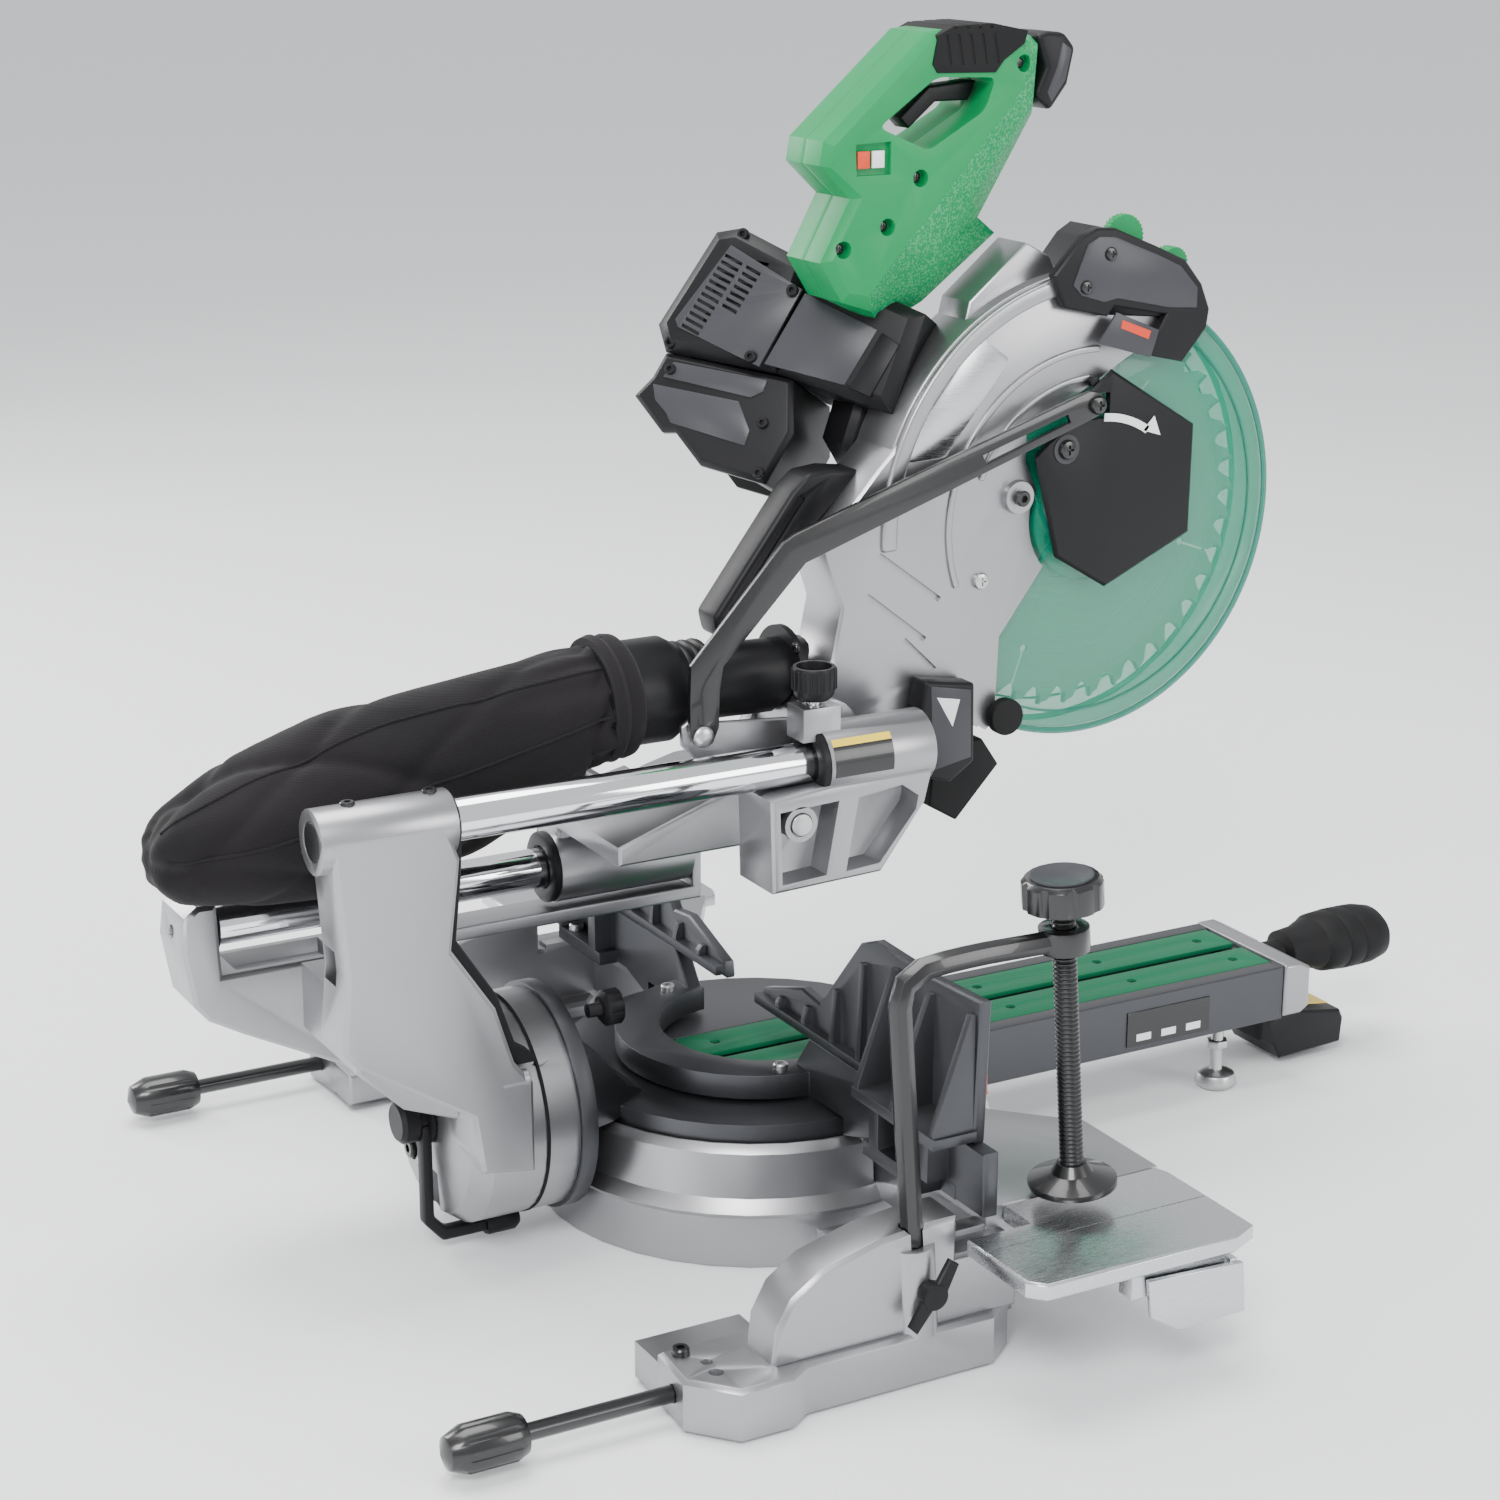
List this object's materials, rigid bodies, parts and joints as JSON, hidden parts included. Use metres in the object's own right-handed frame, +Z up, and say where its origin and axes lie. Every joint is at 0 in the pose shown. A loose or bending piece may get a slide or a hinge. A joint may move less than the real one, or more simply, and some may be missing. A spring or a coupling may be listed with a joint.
{
  "type": "sliding compound mitre saw",
  "caption": "Cordless sliding compound mitre saw with round guide rails, tilting head, tinted blade guard, sliding fences, extending wings, work clamp and dust bag.",
  "frame": {"origin": "on the bench plane under the pivot that the table turns on, at the flat underside of the base", "axes": "+X to the operator's right, -Y towards the operator, +Z up"},
  "size_m": [0.864, 1.057, 0.8425],
  "materials": {
    "casting": "satin cast aluminium",
    "dark_casting": "satin grey casting",
    "machined": "machined",
    "chrome_tube": "polished",
    "green_plastic": "speckled matte",
    "board_green": "matte",
    "clear_green": "clear tinted gloss",
    "black_plastic": "fine moulded grain",
    "black_rubber": "matte",
    "black_steel": "satin black",
    "saw_steel": "brushed",
    "bag_fabric": "woven",
    "white_plate": "printed plate",
    "red_plastic": "matte",
    "zinc_steel": "zinc plated"
  },
  "bodies": {
    "base": {"base_casting": "casting", "fence_casting": "dark_casting", "mitre_scale": "white_plate"},
    "left_sub_fence": {"left_sub_fence": "dark_casting"},
    "right_sub_fence": {"right_sub_fence": "dark_casting"},
    "left_rear_rod": {"left_rear_rod": "black_steel"},
    "right_rear_rod": {"right_rear_rod": "black_steel"},
    "left_wing": {"left_wing": "machined"},
    "right_wing": {"right_wing": "machined"},
    "wing_stop": {"wing_stop": "machined"},
    "clamp_wing_bolt": {"clamp_wing_bolt": "black_plastic"},
    "clamp_post": {"clamp_post": "black_steel"},
    "clamp_screw": {"clamp_screw": "black_steel"},
    "mitre_table": {"turntable": "dark_casting", "left_kerf_board": "board_green", "right_kerf_board": "board_green", "arm_end_cap": "casting", "mitre_pointer": "red_plastic"},
    "mitre_handle": {"mitre_handle": "black_rubber"},
    "detent_lever": {"detent_lever": "black_plastic"},
    "arm_foot": {"arm_foot": "zinc_steel"},
    "bevel_set_pin": {"bevel_set_pin": "black_plastic"},
    "bevel_arm": {"bevel_arm": "casting", "upper_rail": "chrome_tube", "lower_rail": "chrome_tube", "rail_plug": "black_plastic", "lower_rail_bracket": "casting", "arm_cover": "black_plastic"},
    "bevel_lock_lever": {"bevel_lock_lever": "black_plastic"},
    "carriage": {"carriage": "casting", "hinge_pin": "zinc_steel"},
    "slide_lock_knob": {"slide_lock_knob": "black_plastic"},
    "hold_down_pin": {"hold_down_pin": "zinc_steel"},
    "guard_link": {"guard_link": "black_steel", "link_screw": "zinc_steel"},
    "head": {"upper_guard": "casting", "hex_cover": "black_plastic", "gear_case": "black_plastic", "motor_housing": "black_plastic", "motor_end_cap": "black_plastic", "battery_mount": "black_plastic", "left_handle_shell": "green_plastic", "right_handle_shell": "green_plastic", "grip_pad": "black_rubber", "laser_housing": "black_plastic", "carry_handle": "black_plastic", "light_box": "black_plastic", "dust_flap": "black_rubber", "dust_duct": "black_plastic", "dust_elbow": "black_plastic", "dust_bag": "bag_fabric"},
    "trigger": {"trigger": "black_plastic"},
    "laser_button": {"laser_button": "red_plastic"},
    "light_button": {"light_button": "white_plate"},
    "laser_wheel_1": {"laser_wheel_1": "green_plastic"},
    "laser_wheel_2": {"laser_wheel_2": "green_plastic"},
    "blade": {"blade": "saw_steel"},
    "lower_guard": {"lower_guard": "clear_green", "guard_roller": "black_rubber"}
  },
  "joints": [
    {"name": "left_fence_slide", "type": "slide", "parent": "base", "child": "left_sub_fence", "axis": [-1, 0, 0], "range_m": [0, 0.1]},
    {"name": "right_fence_slide", "type": "slide", "parent": "base", "child": "right_sub_fence", "axis": [1, 0, 0], "range_m": [0, 0.1]},
    {"name": "left_rod_slide", "type": "slide", "parent": "base", "child": "left_rear_rod", "axis": [0, 1, 0], "range_m": [-0.09, 0]},
    {"name": "right_rod_slide", "type": "slide", "parent": "base", "child": "right_rear_rod", "axis": [0, 1, 0], "range_m": [-0.09, 0]},
    {"name": "left_wing_slide", "type": "slide", "parent": "base", "child": "left_wing", "axis": [-1, 0, 0], "range_m": [0, 0.09]},
    {"name": "right_wing_slide", "type": "slide", "parent": "base", "child": "right_wing", "axis": [1, 0, 0], "range_m": [0, 0.09]},
    {"name": "wing_stop_fold", "type": "hinge", "parent": "left_wing", "child": "wing_stop", "pos_m": [-0.427, -0.088, 0.08], "axis": [0, 1, 0], "range_deg": [0, 80]},
    {"name": "wing_bolt_turn", "type": "hinge", "parent": "base", "child": "clamp_wing_bolt", "pos_m": [-0.354, 0.064, 0.068], "axis": [1, 0, 0], "continuous": true},
    {"name": "clamp_post_slide", "type": "slide", "parent": "base", "child": "clamp_post", "axis": [0, 0.0732, 0.9973], "range_m": [0, 0.05]},
    {"name": "clamp_screw_feed", "type": "slide", "parent": "clamp_post", "child": "clamp_screw", "axis": [0, 0.0732, 0.9973], "range_m": [0, 0.05]},
    {"name": "mitre_turn", "type": "hinge", "parent": "base", "child": "mitre_table", "pos_m": [0, 0, 0.09], "axis": [0, 0, 1], "range_deg": [-45, 57]},
    {"name": "mitre_handle_turn", "type": "hinge", "parent": "mitre_table", "child": "mitre_handle", "pos_m": [0, -0.476, 0.088], "axis": [0, -1, 0], "continuous": true},
    {"name": "detent_press", "type": "hinge", "parent": "mitre_table", "child": "detent_lever", "pos_m": [0, -0.466, 0.046], "axis": [-1, 0, 0], "range_deg": [0, 6], "stiffness_Nm_per_rad": 2, "springref_deg": -5.73},
    {"name": "arm_foot_turn", "type": "hinge", "parent": "mitre_table", "child": "arm_foot", "pos_m": [-0.038, -0.407, 0.02], "axis": [0, 0, 1], "continuous": true},
    {"name": "bevel_pin_pull", "type": "slide", "parent": "mitre_table", "child": "bevel_set_pin", "axis": [0, -1, 0], "range_m": [0, 0.006]},
    {"name": "bevel_tilt", "type": "hinge", "parent": "mitre_table", "child": "bevel_arm", "pos_m": [0, 0.182, 0.1], "axis": [0, 1, 0], "range_deg": [-20, 30]},
    {"name": "bevel_lever_turn", "type": "hinge", "parent": "bevel_arm", "child": "bevel_lock_lever", "pos_m": [0, 0.275, 0.1], "axis": [0, 1, 0], "range_deg": [-20, 30]},
    {"name": "head_slide", "type": "slide", "parent": "bevel_arm", "child": "carriage", "axis": [0, 1, 0], "range_m": [0, 0.225]},
    {"name": "slide_knob_turn", "type": "hinge", "parent": "carriage", "child": "slide_lock_knob", "pos_m": [-0.068, -0.011, 0.388], "axis": [0, 0, 1], "continuous": true},
    {"name": "hold_down_pull", "type": "slide", "parent": "carriage", "child": "hold_down_pin", "axis": [-1, 0, 0], "range_m": [0, 0.01]},
    {"name": "head_chop", "type": "hinge", "parent": "carriage", "child": "head", "pos_m": [0, -0.039, 0.351], "axis": [1, 0, 0], "range_deg": [0, 53], "stiffness_Nm_per_rad": 40, "springref_deg": -51.57},
    {"name": "guard_link_swing", "type": "hinge", "parent": "carriage", "child": "guard_link", "pos_m": [0, 0.0657, 0.3646], "axis": [1, 0, 0], "range_deg": [0, 52]},
    {"name": "trigger_pull", "type": "hinge", "parent": "head", "child": "trigger", "pos_m": [0, -0.1915, 0.8035], "axis": [1, 0, 0], "range_deg": [0, 8], "stiffness_Nm_per_rad": 0.6, "springref_deg": -8.59},
    {"name": "laser_button_press", "type": "slide", "parent": "head", "child": "laser_button", "axis": [1, 0, 0], "range_m": [0, 0.001], "stiffness_N_per_m": 800, "springref_m": -0.0005},
    {"name": "light_button_press", "type": "slide", "parent": "head", "child": "light_button", "axis": [1, 0, 0], "range_m": [0, 0.001], "stiffness_N_per_m": 800, "springref_m": -0.0005},
    {"name": "laser_wheel_1_turn", "type": "hinge", "parent": "head", "child": "laser_wheel_1", "pos_m": [0, -0.2985, 0.6895], "axis": [1, 0, 0], "continuous": true},
    {"name": "laser_wheel_2_turn", "type": "hinge", "parent": "head", "child": "laser_wheel_2", "pos_m": [0, -0.3455, 0.6675], "axis": [1, 0, 0], "continuous": true},
    {"name": "blade_spin", "type": "hinge", "parent": "head", "child": "blade", "pos_m": [0, -0.2715, 0.4855], "axis": [1, 0, 0], "continuous": true},
    {"name": "lower_guard_lift", "type": "hinge", "parent": "head", "child": "lower_guard", "pos_m": [0, -0.2715, 0.4855], "axis": [1, 0, 0], "range_deg": [-132, 0]}
  ],
  "couplings": [
    {"joint": "guard_link_swing", "follows": "head_chop", "ratio": 0.98},
    {"joint": "lower_guard_lift", "follows": "head_chop", "ratio": -2.4}
  ]
}
